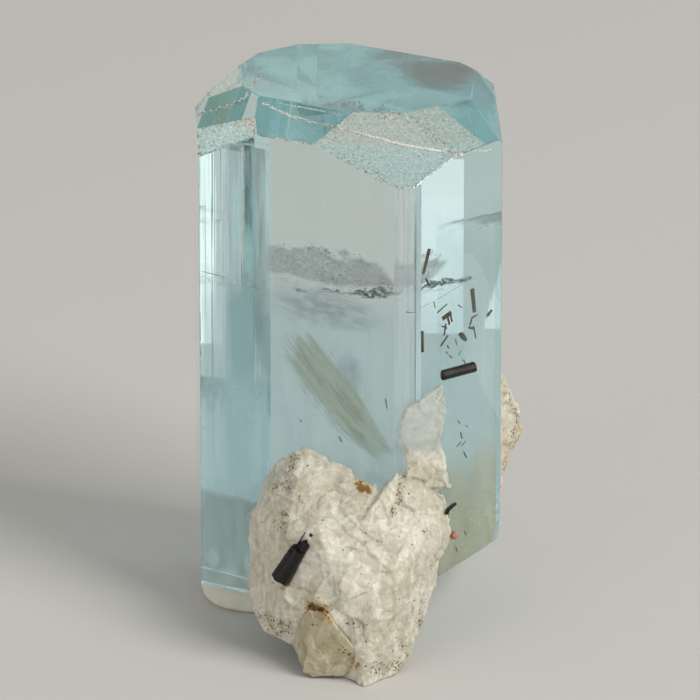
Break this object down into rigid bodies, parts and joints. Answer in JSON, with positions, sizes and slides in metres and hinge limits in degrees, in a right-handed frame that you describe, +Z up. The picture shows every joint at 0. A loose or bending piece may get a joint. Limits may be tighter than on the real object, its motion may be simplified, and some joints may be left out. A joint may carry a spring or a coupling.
{
  "type": "aquamarine crystal on albite matrix",
  "caption": "Stout hexagonal gem beryl prism with a bevelled natural tip, on a foot of white feldspar matrix with black tourmaline, standing upright on a putty pad.",
  "frame": {"origin": "middle of the bounding box at the level of the surface that the specimen stands on", "axes": "+Z up along the crystal, -Y towards the front where the feldspar foot is, +X to the right"},
  "size_m": [0.0262, 0.0308, 0.0439],
  "materials": {
    "aquamarine": "clear pale greenish-blue beryl, bright striated prism faces, two frosted corner faces at the tip",
    "albite": "white to cream granular feldspar, satin cleavage, brown specks and ochre iron stains",
    "cream_albite": "cream feldspar with a warm stained rim, dull",
    "quartz": "brownish translucent quartz, conchoidal, half glossy",
    "schorl": "black tourmaline, striated, bright vitreous lustre",
    "garnet": "small orange-brown vitreous grain",
    "putty": "smooth pale off-white mounting putty, matt"
  },
  "bodies": {
    "root": {"aquamarine_crystal": "aquamarine", "albite_front": "albite", "albite_side": "cream_albite", "quartz_grain": "quartz", "schorl_on_matrix": "schorl", "schorl_rod": "schorl", "schorl_splinter": "schorl", "garnet_grain": "garnet", "mounting_putty": "putty"}
  },
  "joints": []
}
